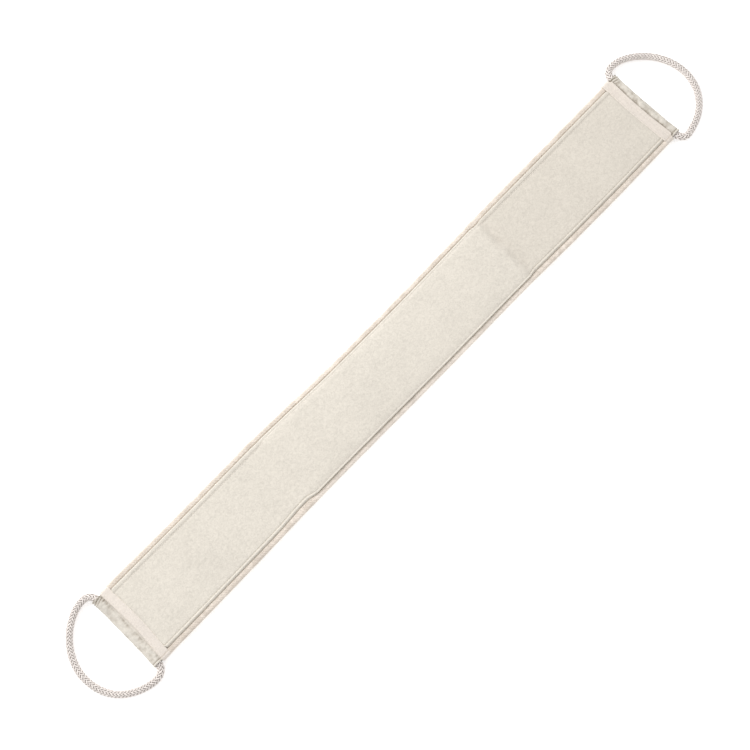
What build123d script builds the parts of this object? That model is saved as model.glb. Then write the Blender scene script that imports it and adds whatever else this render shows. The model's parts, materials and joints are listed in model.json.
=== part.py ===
from build123d import *
import math
import os

# Loofah back scrubber: a padded washing strap with a rope loop at each end.
# Frame: the strap lies flat. X runs along it, Y across it, +Z is the cloth face, and the loofah lies below.
# The origin is the centre of the bounding box at the surface that the strap lies on. Millimetres.
# "lower" is the -X end and "upper" the +X end; "left" is the +Y side and "right" the -Y side.

# Driving dimensions
overall_length = 800.0
fold_lower_x = -137.5  # creases where the loofah sheets meet
fold_upper_x = 150.5
hem_half_width = 42.0  # outer edge of the binding at the hems, the creases and the waist
fold_half_width = 41.2
waist_half_width = 39.9

rope_diameter = 7.0
lower_reach = 55.83  # hem tunnel's axis to the rope's centreline at the far side of the loop
upper_reach = 53.51
rope_clearance = 0.3

loofah_thickness = 4.0
lining_thickness = 0.5
face_thickness = 1.0
end_face_top = 7.0
middle_face_top = 10.0
tongue_thickness = 0.7  # loofah edge pressed thin inside the binding
flange_thickness = 0.6  # face cloth's seam allowance

binding_width = 4.7
tape_thickness = 0.9
binding_wall = 1.3
hem_cloth_thickness = 0.8
tunnel_half_length = 40.6
lower_hem_depth = 15.5  # tunnel's axis to the end of the padded panel
upper_hem_depth = 13.2
thread_thickness = 0.4

fold_limit = 110.0  # degrees each way at a crease
fold_slack = 2.0  # degrees

# Heights of the layers
rope_radius = rope_diameter / 2
bore_radius = rope_radius + rope_clearance
tunnel_radius = bore_radius + hem_cloth_thickness
tunnel_z = tunnel_radius
tongue_bottom = loofah_thickness - tongue_thickness
lining_top = loofah_thickness + lining_thickness
flange_top = lining_top + flange_thickness
fold_z = loofah_thickness + lining_thickness / 2
binding_bottom = tongue_bottom - tape_thickness
binding_top = flange_top + tape_thickness

# Places along the strap
lower_tunnel_x = -overall_length / 2 + rope_radius + lower_reach
upper_tunnel_x = overall_length / 2 - rope_radius - upper_reach
lower_panel_x = lower_tunnel_x + lower_hem_depth
upper_panel_x = upper_tunnel_x - upper_hem_depth
waist_x = (fold_lower_x + fold_upper_x) / 2

# Small allowances
seam_gap = 0.1  # left between cloth pieces that don't press on each other
flange_inset = 1.4  # edges of the cloth layers, in from the binding's outer edge
crease_inset = binding_width + seam_gap  # foot of the face cloth's side wall
end_shoulder_inset = 7.5  # top of that side wall
middle_shoulder_inset = 8.2
hem_tab_length = 7.4  # seam allowance inside the hem
hem_tab_half_width = 40.2
band_start = 0.7  # end band's inner edge, out from the panel's end
band_gap = 0.4  # between the end band and the round of the rope tunnel
band_clearance = 0.2  # between the end band and the tunnel's tails, at their ends
tail_start = 1.0  # tunnel's tails, out from the panel's end
binding_row_inset = 1.5  # stitching, out from the binding's inner edge
panel_row_inset = 1.0  # stitching, in from the shoulder
hem_row_inset = 1.2  # stitching, in from the end band's edges
row_end_inset = 1.0

lower_stations = [(lower_panel_x, hem_half_width), (fold_lower_x, fold_half_width)]
middle_stations = [
    (fold_lower_x, fold_half_width),
    (waist_x, waist_half_width),
    (fold_upper_x, fold_half_width),
]
upper_stations = [(fold_upper_x, fold_half_width), (upper_panel_x, hem_half_width)]

# Section name: stations, top of the face cloth, shoulder inset, hem side (-1 lower, +1 upper, 0 none)
sections = {
    "lower": (lower_stations, end_face_top, end_shoulder_inset, -1),
    "middle": (middle_stations, middle_face_top, middle_shoulder_inset, 0),
    "upper": (upper_stations, end_face_top, end_shoulder_inset, 1),
}


def write(piece, name):
    """Labels a finished piece and writes it to its own file."""
    piece.part.label = name
    export_step(piece.part, f"parts/{name}.step")


def cross_sections(stations, outline):
    """One face across the strap at each station; outline(half_width) gives its (y, z) points."""
    faces = []
    for x, half_width in stations:
        with BuildSketch(Plane.YZ.offset(x)) as section:
            with BuildLine():
                Polyline(*outline(half_width), close=True)
            make_face()
        faces.append(section.sketch)
    return faces


def symmetric(half):
    """The points of a +Y half outline, followed by its mirror image."""
    return half + [(-y, z) for y, z in reversed(half)]


def inset_stations(stations, hem_side, inset):
    """The same stations, with the hem end pulled in by inset."""
    return [
        (x - hem_side * inset if x in (lower_panel_x, upper_panel_x) else x, half_width)
        for x, half_width in stations
    ]


def hem_tab_centre(hem_side, bottom, top):
    """Centre of the seam allowance by which a layer runs on from the panel's end into the hem."""
    panel_x = lower_panel_x if hem_side < 0 else upper_panel_x
    return (panel_x + hem_side * hem_tab_length / 2, 0, (bottom + top) / 2)


# The layers are bevelled each side of both creases, so that the strap folds by fold_limit either way.
gap_half_waist = 0.2
gap_reach = 14.0
gap_spread = gap_half_waist + gap_reach * math.tan(math.radians(fold_limit / 2 + fold_slack))
gap_half_length = hem_half_width + 5
with BuildPart() as fold_gaps:
    with BuildSketch(Plane.XZ):
        for x in (fold_lower_x, fold_upper_x):
            with BuildLine():
                Polyline(
                    (x - gap_half_waist, fold_z),
                    (x - gap_spread, fold_z + gap_reach),
                    (x + gap_spread, fold_z + gap_reach),
                    (x + gap_half_waist, fold_z),
                    (x + gap_spread, fold_z - gap_reach),
                    (x - gap_spread, fold_z - gap_reach),
                    close=True,
                )
            make_face()
    extrude(amount=gap_half_length, both=True)


def face_cloth(stations, top, shoulder_inset, hem_side):
    """Face cloth: top, side walls down to the creases, and the seam allowance inside the bindings."""

    def outside(half_width):
        return symmetric(
            [
                (half_width - flange_inset, lining_top),
                (half_width - flange_inset, flange_top),
                (half_width - crease_inset, flange_top),
                (half_width - shoulder_inset, top),
            ]
        )

    def inside(half_width):
        return symmetric(
            [
                (half_width - crease_inset - face_thickness, lining_top),
                (half_width - shoulder_inset - face_thickness / 2, top - face_thickness),
            ]
        )

    inner_stations = inset_stations(stations, hem_side, face_thickness)
    with BuildPart() as cloth:
        loft(cross_sections(stations, outside), ruled=True)
        loft(cross_sections(inner_stations, inside), ruled=True, mode=Mode.SUBTRACT)
        if hem_side:
            with Locations(hem_tab_centre(hem_side, lining_top, flange_top)):
                Box(hem_tab_length, 2 * hem_tab_half_width, flange_thickness)
        add(fold_gaps.part, mode=Mode.SUBTRACT)
    return cloth


def wadding(stations, top, shoulder_inset, hem_side):
    """Wadding between the lining and the face cloth: thin in the end sections, a thick pad in the middle."""

    def outline(half_width):
        return symmetric(
            [
                (half_width - crease_inset - face_thickness - seam_gap, lining_top),
                (half_width - shoulder_inset - face_thickness / 2 - seam_gap, top - face_thickness),
            ]
        )

    inner_stations = inset_stations(stations, hem_side, face_thickness + seam_gap)
    with BuildPart() as pad:
        loft(cross_sections(inner_stations, outline), ruled=True)
        add(fold_gaps.part, mode=Mode.SUBTRACT)
    return pad


def lining(stations, hem_side):
    """Thin backing cloth that carries the folds, from binding to binding."""

    def outline(half_width):
        return symmetric(
            [
                (half_width - flange_inset, loofah_thickness),
                (half_width - flange_inset, lining_top),
            ]
        )

    with BuildPart() as cloth:
        loft(cross_sections(stations, outline), ruled=True)
        if hem_side:
            with Locations(hem_tab_centre(hem_side, loofah_thickness, lining_top)):
                Box(hem_tab_length, 2 * hem_tab_half_width, lining_thickness)
        add(fold_gaps.part, mode=Mode.SUBTRACT)
    return cloth


def loofah(stations, hem_side):
    """Pressed loofah sheet, with its edges squeezed to a thin tongue where they are sewn."""

    def outline(half_width):
        return symmetric(
            [
                (half_width - end_shoulder_inset, 0),
                (half_width - crease_inset - seam_gap, tongue_bottom),
                (half_width - flange_inset, tongue_bottom),
                (half_width - flange_inset, loofah_thickness),
            ]
        )

    with BuildPart() as sheet:
        loft(cross_sections(stations, outline), ruled=True)
        if hem_side:
            with Locations(hem_tab_centre(hem_side, tongue_bottom, loofah_thickness)):
                Box(hem_tab_length, 2 * hem_tab_half_width, tongue_thickness)
        add(fold_gaps.part, mode=Mode.SUBTRACT)
    return sheet


def binding(stations, hem_side, side):
    """Binding tape folded over the edge of the strap, on the left (+1) or the right (-1)."""

    def outline(half_width):
        root = half_width - binding_width
        slot_end = half_width - binding_wall
        points = [
            (root, binding_bottom),
            (half_width, binding_bottom),
            (half_width, binding_top),
            (root, binding_top),
            (root, flange_top),
            (slot_end, flange_top),
            (slot_end, tongue_bottom),
            (root, tongue_bottom),
        ]
        return [(side * y, z) for y, z in points]

    with BuildPart() as tape:
        loft(cross_sections(inset_stations(stations, hem_side, seam_gap), outline), ruled=True)
        add(fold_gaps.part, mode=Mode.SUBTRACT)
    return tape


def thread_rows(stations, hem_side, inset, height):
    """Two rows of stitching along the strap, each as one thin thread, inset from the binding's edge."""

    def outline(half_width):
        return [
            (half_width - inset, height),
            (half_width - inset - thread_thickness, height),
            (half_width - inset - thread_thickness, height + thread_thickness),
            (half_width - inset, height + thread_thickness),
        ]

    with BuildPart() as threads:
        loft(cross_sections(inset_stations(stations, hem_side, row_end_inset), outline), ruled=True)
        mirror(about=Plane.XZ)
        add(fold_gaps.part, mode=Mode.SUBTRACT)
    return threads


def band_span(hem_side, tunnel_x, hem_depth):
    """Inner and outer edge of the end band along X."""
    inner = tunnel_x - hem_side * (hem_depth - band_start)
    outer = tunnel_x - hem_side * (tunnel_radius + band_gap)
    return inner, outer


def end_band(hem_side, tunnel_x, hem_depth):
    """Tape sewn round the end of the strap, over the tails of the rope tunnel."""
    inner, outer = band_span(hem_side, tunnel_x, hem_depth)
    low = tongue_bottom - hem_cloth_thickness - tape_thickness
    high = flange_top + hem_cloth_thickness + tape_thickness
    middle_z = (low + high) / 2
    opening_height = high - low - 2 * tape_thickness
    opening_half_width = tunnel_half_length + band_clearance
    with BuildPart() as band:
        with BuildSketch(Plane.YZ.offset(inner)):
            with Locations((0, middle_z)):
                Rectangle(2 * (opening_half_width + tape_thickness), high - low)
                Rectangle(2 * opening_half_width, opening_height, mode=Mode.SUBTRACT)
        extrude(amount=outer - inner)
    return band


def rope_tunnel(hem_side, tunnel_x, hem_depth):
    """Hem cloth folded round the rope, with two tails that hold the ends of the strap's layers."""
    tail_end = tunnel_x - hem_side * (hem_depth - tail_start)
    slot_start = tunnel_x - hem_side * (tunnel_radius + band_gap)
    tail_low = tongue_bottom - hem_cloth_thickness
    tail_high = flange_top + hem_cloth_thickness
    with BuildPart() as tunnel:
        with BuildSketch(Plane.XZ):
            with Locations((tunnel_x, tunnel_z)):
                Circle(tunnel_radius)
            with Locations(((tunnel_x + tail_end) / 2, (tail_low + tail_high) / 2)):
                Rectangle(abs(tail_end - tunnel_x), tail_high - tail_low)
            with Locations((tunnel_x, tunnel_z)):
                Circle(bore_radius, mode=Mode.SUBTRACT)
            with Locations(((slot_start + tail_end) / 2, (tongue_bottom + flange_top) / 2)):
                Rectangle(abs(tail_end - slot_start), flange_top - tongue_bottom, mode=Mode.SUBTRACT)
        extrude(amount=tunnel_half_length, both=True)
    return tunnel


def hem_threads(hem_side, tunnel_x, hem_depth):
    """Two rows of stitching across the end band."""
    inner, outer = band_span(hem_side, tunnel_x, hem_depth)
    height = flange_top + hem_cloth_thickness + tape_thickness
    rows = (inner + hem_side * hem_row_inset, outer - hem_side * hem_row_inset)
    with BuildPart() as threads:
        with Locations(*[(x, 0, height + thread_thickness / 2) for x in rows]):
            Box(thread_thickness, 2 * (tunnel_half_length - row_end_inset), thread_thickness)
    return threads


# Rope loops. A route starts at the splice inside the tunnel, leaves by the +Y mouth, goes round the loop
# and comes back through the -Y mouth. Its points are (out from the tunnel's axis, along Y).
splice_y = 22.0
whipped_length = 10.0
whipped_radius = 3.1
splice_gap = 0.2
sleeve_thickness = 0.45
sleeve_clearance = 0.02

lower_route = [
    (0.0, splice_y + whipped_length),
    (0.0, 44.3),
    (6.0, 49.5),
    (18.5, 48.7),
    (32.0, 42.0),
    (43.0, 32.3),
    (51.0, 20.3),
    (55.6, 6.8),
    (56.0, -6.2),
    (53.2, -19.6),
    (46.0, -32.4),
    (34.8, -42.0),
    (21.0, -48.2),
    (7.4, -49.9),
    (0.0, -44.3),
    (0.0, splice_y - whipped_length),
]
upper_route = [
    (0.0, splice_y + whipped_length),
    (0.0, 44.3),
    (5.6, 49.6),
    (16.6, 49.2),
    (29.0, 43.4),
    (39.6, 33.8),
    (47.6, 22.6),
    (52.4, 10.0),
    (53.9, -2.8),
    (52.0, -15.4),
    (46.9, -27.0),
    (38.2, -37.0),
    (26.4, -44.6),
    (13.0, -48.6),
    (5.4, -49.6),
    (0.0, -44.3),
    (0.0, splice_y - whipped_length),
]


def corner_radii(route):
    """Radius at each corner of a route: 0.45 of its shorter run, over the tangent of half the turn."""
    radii = []
    for before, corner, after in zip(route, route[1:], route[2:]):
        run_in = Vector(*corner) - Vector(*before)
        run_out = Vector(*after) - Vector(*corner)
        half_turn = math.radians(run_in.get_angle(run_out) / 2)
        radii.append(0.45 * min(run_in.length, run_out.length) / math.tan(half_turn))
    return radii


def loop_plane(hem_side, tunnel_x, reach):
    """Plane of a rope loop, leaning down from the tunnel's axis until its far side lies on the floor."""
    drop = math.asin((tunnel_z - rope_radius) / reach)
    out = Vector(hem_side * math.cos(drop), 0, -math.sin(drop))
    return Plane(origin=(tunnel_x, 0, tunnel_z), x_dir=out, z_dir=out.cross(Vector(0, 1, 0)))


def rope_handle(name, hem_side, tunnel_x, reach, route):
    """Rope loop, with its two ends thinned by the whipping where they butt inside the tunnel."""
    plane = loop_plane(hem_side, tunnel_x, reach)
    radii = corner_radii(route)
    with BuildPart() as rope:
        with BuildLine(plane) as line:
            FilletPolyline(*route, radius=radii)
        path = line.wires()[0]
        with BuildSketch(Plane(origin=path @ 0, z_dir=path % 0)):
            Circle(rope_radius)
        sweep(path=path)
        loop_volume = rope.part.volume
        for end_y, direction in ((splice_y + splice_gap, 1), (splice_y - splice_gap, -1)):
            with BuildSketch(Plane(origin=(tunnel_x, end_y, tunnel_z), z_dir=(0, direction, 0))):
                Circle(whipped_radius)
            extrude(amount=whipped_length - splice_gap)
    print(name, "corner radii", [round(radius, 1) for radius in radii])
    print(name, "rope length", round(path.length + 2 * (whipped_length - splice_gap), 1))
    section_times_length = math.pi * rope_radius**2 * path.length
    print(name, "volume over section times length", round(loop_volume / section_times_length, 4))
    return rope


def splice_sleeve(tunnel_x):
    """Whipping thread round the two butted rope ends."""
    inner_radius = whipped_radius + sleeve_clearance
    with BuildPart() as sleeve:
        with BuildSketch(Plane(origin=(tunnel_x, splice_y, tunnel_z), z_dir=(0, 1, 0))):
            Circle(whipped_radius + sleeve_thickness)
            Circle(inner_radius, mode=Mode.SUBTRACT)
        extrude(amount=whipped_length - seam_gap, both=True)
    return sleeve


os.makedirs("parts", exist_ok=True)

for section, (stations, top, shoulder_inset, hem_side) in sections.items():
    write(face_cloth(stations, top, shoulder_inset, hem_side), f"face_cloth_{section}")
    write(wadding(stations, top, shoulder_inset, hem_side), f"wadding_{section}")
    write(lining(stations, hem_side), f"lining_{section}")
    write(loofah(stations, hem_side), f"loofah_sheet_{section}")
    write(binding(stations, hem_side, 1), f"binding_left_{section}")
    write(binding(stations, hem_side, -1), f"binding_right_{section}")
    binding_row = binding_width - binding_row_inset
    panel_row = shoulder_inset + panel_row_inset
    write(thread_rows(stations, hem_side, binding_row, binding_top), f"binding_stitches_{section}")
    write(thread_rows(stations, hem_side, panel_row, top), f"panel_stitches_{section}")

hems = {
    "lower": (-1, lower_tunnel_x, lower_hem_depth, lower_reach, lower_route),
    "upper": (1, upper_tunnel_x, upper_hem_depth, upper_reach, upper_route),
}
for end, (hem_side, tunnel_x, hem_depth, reach, route) in hems.items():
    write(end_band(hem_side, tunnel_x, hem_depth), f"end_band_{end}")
    write(rope_tunnel(hem_side, tunnel_x, hem_depth), f"rope_tunnel_{end}")
    write(hem_threads(hem_side, tunnel_x, hem_depth), f"hem_stitches_{end}")
    write(rope_handle(end, hem_side, tunnel_x, reach, route), f"rope_handle_{end}")
    write(splice_sleeve(tunnel_x), f"splice_sleeve_{end}")
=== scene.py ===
import json
import math

import bpy
import numpy as np
from mathutils import Matrix, Vector, noise


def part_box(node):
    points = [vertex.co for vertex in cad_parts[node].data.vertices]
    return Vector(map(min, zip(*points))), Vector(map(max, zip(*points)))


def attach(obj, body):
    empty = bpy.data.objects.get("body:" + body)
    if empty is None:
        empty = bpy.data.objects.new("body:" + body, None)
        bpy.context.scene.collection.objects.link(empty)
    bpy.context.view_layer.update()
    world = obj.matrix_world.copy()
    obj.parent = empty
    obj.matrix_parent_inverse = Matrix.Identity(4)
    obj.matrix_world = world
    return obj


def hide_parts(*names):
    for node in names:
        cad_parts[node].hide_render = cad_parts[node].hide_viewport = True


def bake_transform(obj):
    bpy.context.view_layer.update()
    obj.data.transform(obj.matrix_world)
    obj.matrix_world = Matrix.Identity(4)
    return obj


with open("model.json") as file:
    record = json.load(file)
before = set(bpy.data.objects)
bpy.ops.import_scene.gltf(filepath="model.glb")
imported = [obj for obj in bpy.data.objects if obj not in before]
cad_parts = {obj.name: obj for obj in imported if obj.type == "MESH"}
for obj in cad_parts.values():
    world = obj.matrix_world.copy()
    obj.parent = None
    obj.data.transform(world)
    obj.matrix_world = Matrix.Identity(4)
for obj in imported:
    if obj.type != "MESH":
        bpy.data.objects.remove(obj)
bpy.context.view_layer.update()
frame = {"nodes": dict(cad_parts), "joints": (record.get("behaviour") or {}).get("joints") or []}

# Loofah back scrubber: a padded washing strap that lies cloth side up, with a rope loop at each end.
# Frame: X runs along the strap, Y across it, +Z is the cloth face. Everything is in metres.
# "lower" is the -X end and "upper" the +X end; side +1 is the left edge (+Y) and -1 the right edge (-Y).

mm = 0.001

# Places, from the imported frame
joint_at = {joint["name"]: Vector(joint["pos_m"]) for joint in frame["joints"]}
fold_lower = joint_at["lower_fold"]
fold_upper = joint_at["upper_fold"]
waist_x = (fold_lower.x + fold_upper.x) / 2
panel_lower_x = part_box("binding_left_lower")[0].x
panel_upper_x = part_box("binding_left_upper")[1].x

# Heights of the layers
loofah_top = 4.0 * mm
lining_top = 4.5 * mm
flange_top = 5.0 * mm

# Outline of the strap: (x, distance of the binding's outer edge from the centreline), in millimetres
left_edge = [(-325, 43.0), (-230, 42.3), (-145, 42.8), (-95, 41.1), (-50, 39.4)]
left_edge += [(40, 38.9), (90, 39.5), (160, 40.9), (330, 41.2)]
right_edge = [(-325, 42.0), (-230, 41.6), (-150, 40.5), (-100, 40.6)]
right_edge += [(40, 41.8), (130, 41.5), (210, 42.9), (270, 43.1), (330, 42.4)]
edges = {1: np.array(left_edge) * mm, -1: np.array(right_edge) * mm}
edge_softening = 12 * mm

# Face cloth beside a binding: (inset from the strap's edge, height), in millimetres. It runs from the
# seam allowance inside the binding up the side wall to a ridge, down into the stitched groove, and on to
# the panel.
end_shoulder = {
    1: [(1.5, 5.0), (3.4, 5.0), (5.4, 5.0), (5.6, 6.6), (6.0, 7.9), (7.2, 8.3), (9.2, 8.1), (10.1, 7.35)],
    -1: [(1.5, 5.0), (3.2, 5.0), (5.5, 5.5), (5.7, 6.6), (6.1, 7.6), (6.9, 8.0), (7.8, 7.7), (8.4, 6.6)],
}
end_shoulder[1] += [(10.8, 7.4), (12.0, 7.5), (13.5, 7.5)]
end_shoulder[-1] += [(8.9, 7.3), (10.1, 7.5), (11.7, 7.5)]
middle_shoulder = {
    1: [(1.5, 5.0), (3.4, 5.0), (5.2, 5.0), (5.4, 7.0), (5.8, 8.4), (6.6, 8.9), (7.5, 9.0), (8.1, 8.8)],
    -1: [(1.5, 5.0), (3.2, 5.0), (5.0, 5.5), (4.8, 6.7), (4.6, 8.1), (4.9, 8.8), (5.6, 9.0), (6.2, 8.4)],
}
middle_shoulder[1] += [(8.7, 9.2), (9.9, 9.6), (12.5, 9.9)]
middle_shoulder[-1] += [(6.9, 8.8), (9.0, 9.3), (12.5, 9.7)]
groove_corner = 7  # which of those points is the stitched groove
ridge_corner = 5
end_crown = 0.2 * mm  # how much higher the panel is at its centre than at the shoulders
middle_crown = 0.6 * mm
crease_run = 11 * mm  # length over which one section's profile turns into the next one's

# Bindings: how far they reach in from the strap's edge
end_binding = {1: 5.2 * mm, -1: 5.2 * mm}
middle_binding = {1: 4.9 * mm, -1: 4.7 * mm}

band_overlap = 0.9 * mm  # of the end bands over the ends of the panel
hem_tab = 7 * mm  # length of each layer inside a hem
binding_y = 41 * mm  # about where the bindings run into the end bands

# Rope loops: (distance out from the tunnel's axis, along Y), the points that the CAD rope goes round
rope_radius = 3.5 * mm
lower_route = [(0.0, 0.022), (0.0, 0.0364), (0.0, 0.0443), (0.0060, 0.0495), (0.0185, 0.0487)]
lower_route += [(0.0320, 0.0420), (0.0430, 0.0323), (0.0510, 0.0203), (0.0556, 0.0068), (0.0560, -0.0062)]
lower_route += [(0.0532, -0.0196), (0.0460, -0.0324), (0.0348, -0.0420), (0.0210, -0.0482)]
lower_route += [(0.0074, -0.0499), (0.0, -0.0443), (0.0, -0.0350), (0.0, 0.022)]
upper_route = [(0.0, 0.022), (0.0, 0.0366), (0.0, 0.0443), (0.0056, 0.0496), (0.0166, 0.0492)]
upper_route += [(0.0290, 0.0434), (0.0396, 0.0338), (0.0476, 0.0226), (0.0524, 0.0100), (0.0539, -0.0028)]
upper_route += [(0.0520, -0.0154), (0.0469, -0.0270), (0.0382, -0.0370), (0.0264, -0.0446)]
upper_route += [(0.0130, -0.0486), (0.0054, -0.0496), (0.0, -0.0443), (0.0, -0.0367), (0.0, 0.022)]


# Numbers and meshes


straight_up = (0.0, 0.0, 1.0)


def smooth(t):
    """Smooth step from 0 to 1."""
    t = np.clip(t, 0, 1)
    return t * t * (3 - 2 * t)


def lumps(points, size, seed):
    """Smooth noise from about -1 to 1, with lumps of about that size, at each point of an array."""
    scaled = points.reshape(-1, 3) / size + 17.3 * seed
    values = [noise.noise(point) for point in scaled.tolist()]
    return np.array(values).reshape(points.shape[:-1])


def stations(start, end, step):
    """Evenly spaced places from start to end, about one step apart."""
    return np.linspace(start, end, round(abs(end - start) / step) + 1)


def quadratic(starts, corners, ends, count):
    """count points along each quadratic curve from a start by way of a corner towards an end."""
    t = (np.arange(count) / count)[:, None]
    curve = (1 - t) ** 2 * starts[:, :, None]
    curve += 2 * t * (1 - t) * corners[:, :, None]
    curve += t**2 * ends[:, :, None]
    return curve.reshape(len(corners), -1, 2)


def rounded(controls, count):
    """Rounds off control polygons, (stations, points, 2), with quadratic curves of count points each."""
    corners = controls[:, 1:-1]
    starts = (controls[:, :-2] + corners) / 2
    ends = (corners + controls[:, 2:]) / 2
    starts[:, 0] = controls[:, 0]
    ends[:, -1] = controls[:, -1]
    return np.concatenate([quadratic(starts, corners, ends, count), controls[:, -1:]], 1)


def rounded_ring(controls, count):
    """The same for closed polygons."""
    before = np.roll(controls, 1, axis=1)
    after = np.roll(controls, -1, axis=1)
    return quadratic((before + controls) / 2, controls, (controls + after) / 2, count)


def at_stations(x, rows):
    """Points (x, y, z) from rows of (y, z), one row for each x."""
    return np.concatenate([np.broadcast_to(x[:, None, None], (*rows.shape[:2], 1)), rows], -1)


def grid_quads(rows, columns, closed_rows=False, closed_columns=False):
    """Quads of a grid of points stored row by row."""
    row = np.arange(rows if closed_rows else rows - 1)[:, None]
    column = np.arange(columns if closed_columns else columns - 1)[None, :]
    next_row = (row + 1) % rows
    next_column = (column + 1) % columns
    corners = [row * columns + column, next_row * columns + column]
    corners += [next_row * columns + next_column, row * columns + next_column]
    return np.stack(np.broadcast_arrays(*corners), -1).reshape(-1, 4)


def grid_normals(grid):
    """Unit normals of a grid of points."""
    along = np.gradient(grid, axis=0)
    across = np.gradient(grid, axis=1)
    normals = np.cross(along, across)
    return normals / np.linalg.norm(normals, axis=-1, keepdims=True)


def mesh_piece(name, points, faces, material, darkness=None):
    """A smooth-shaded mesh object, with its creases kept sharp. darkness is 0 to 1 for each point."""
    mesh = bpy.data.meshes.new(name)
    mesh.from_pydata(np.asarray(points).reshape(-1, 3).tolist(), [], faces)
    mesh.update()
    mesh.shade_smooth()
    mesh.set_sharp_from_angle(angle=math.radians(62))
    if darkness is not None:
        attribute = mesh.attributes.new("darkness", "FLOAT", "POINT")
        attribute.data.foreach_set("value", np.ascontiguousarray(darkness, np.float32).ravel())
    mesh.materials.append(material)
    piece = bpy.data.objects.new(name, mesh)
    bpy.context.scene.collection.objects.link(piece)
    return piece


def sheet_faces(rows, columns):
    """Faces of a closed sheet: an upper grid, a lower grid stored after it, and the rim between them."""
    count = rows * columns
    upper = grid_quads(rows, columns)
    lower = upper[:, ::-1] + count
    first_row = np.arange(columns)
    last_row = first_row + (rows - 1) * columns
    first_column = np.arange(rows) * columns
    last_column = first_column + columns - 1
    rims = []
    borders = [(first_row, True), (last_row, False), (first_column, False), (last_column, True)]
    for line, flipped in borders:
        rim = np.stack([line[:-1], line[1:], line[1:] + count, line[:-1] + count], -1)
        rims.append(rim[:, ::-1] if flipped else rim)
    return np.concatenate([upper, lower] + rims).tolist()


def ring_faces(rows, columns):
    """Faces of a tube stored ring by ring, with both ends closed."""
    sides = grid_quads(rows, columns, closed_columns=True).tolist()
    first = list(range(columns))
    last = [(rows - 1) * columns + index for index in first]
    return sides + [first, last[::-1]]


def tubes(lines, outward, half_width, half_height, sides):
    """Points and faces of many capped tubes. lines are (tubes, rings, 3), and outward is the same or one
    direction. The half sizes are measured across outward and along it, and can differ between rings."""
    tangents = np.gradient(lines, axis=1)
    tangents /= np.linalg.norm(tangents, axis=-1, keepdims=True)
    sideways = np.cross(tangents, outward)
    sideways /= np.linalg.norm(sideways, axis=-1, keepdims=True)
    height = np.cross(sideways, tangents)
    angles = np.arange(sides) * 2 * math.pi / sides
    across = np.cos(angles)[:, None] * sideways[:, :, None] * np.reshape(half_width, (1, -1, 1, 1))
    upward = np.sin(angles)[:, None] * height[:, :, None] * np.reshape(half_height, (1, -1, 1, 1))
    points = lines[:, :, None] + across + upward
    count, rings = lines.shape[:2]
    faces = []
    one = ring_faces(rings, sides)
    for tube in range(count):
        start = tube * rings * sides
        faces += [[index + start for index in face] for face in one]
    return points.reshape(-1, 3), faces


# Materials


def coordinates(nodes, links, scale=(1, 1, 1)):
    """Object coordinates, stretched by scale."""
    source = nodes.new("ShaderNodeTexCoord")
    mapping = nodes.new("ShaderNodeMapping")
    mapping.inputs["Scale"].default_value = scale
    links.new(source.outputs["Object"], mapping.inputs["Vector"])
    return mapping.outputs["Vector"]


def noise_value(nodes, links, vector, size, detail=3.0, distortion=0.0):
    """Noise from 0 to 1 with grains of about that size."""
    texture = nodes.new("ShaderNodeTexNoise")
    texture.inputs["Scale"].default_value = 1 / size
    texture.inputs["Detail"].default_value = detail
    texture.inputs["Distortion"].default_value = distortion
    links.new(vector, texture.inputs["Vector"])
    return texture.outputs["Fac"]


def ribs_value(nodes, links, vector, spacing, direction, wobble=1.0):
    """Parallel ribs from 0 to 1, that far apart."""
    texture = nodes.new("ShaderNodeTexWave")
    texture.bands_direction = direction
    texture.inputs["Scale"].default_value = math.pi / 10 / spacing
    texture.inputs["Distortion"].default_value = wobble
    texture.inputs["Detail"].default_value = 1.0
    links.new(vector, texture.inputs["Vector"])
    return texture.outputs["Fac"]


def mixed(nodes, links, factor, first, second, low=0.0, high=1.0):
    """A colour between first and second, each a colour or a socket, as factor goes from low to high."""
    spread = nodes.new("ShaderNodeMapRange")
    spread.inputs["From Min"].default_value = low
    spread.inputs["From Max"].default_value = high
    links.new(factor, spread.inputs["Value"])
    mix = nodes.new("ShaderNodeMix")
    mix.data_type = "RGBA"
    links.new(spread.outputs["Result"], mix.inputs["Factor"])
    for value, socket in ((first, mix.inputs["A"]), (second, mix.inputs["B"])):
        if isinstance(value, bpy.types.NodeSocket):
            links.new(value, socket)
        else:
            socket.default_value = (*value, 1)
    return mix.outputs["Result"]


def bumped(nodes, links, height, depth, strength, under=None):
    """A normal from a height, on top of the normal under it."""
    bump = nodes.new("ShaderNodeBump")
    bump.inputs["Distance"].default_value = depth
    bump.inputs["Strength"].default_value = strength
    links.new(height, bump.inputs["Height"])
    if under is not None:
        links.new(under, bump.inputs["Normal"])
    return bump.outputs["Normal"]


def scaled(colour, factor):
    """A colour made lighter or darker."""
    return tuple(min(1.0, channel * factor) for channel in colour)


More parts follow.
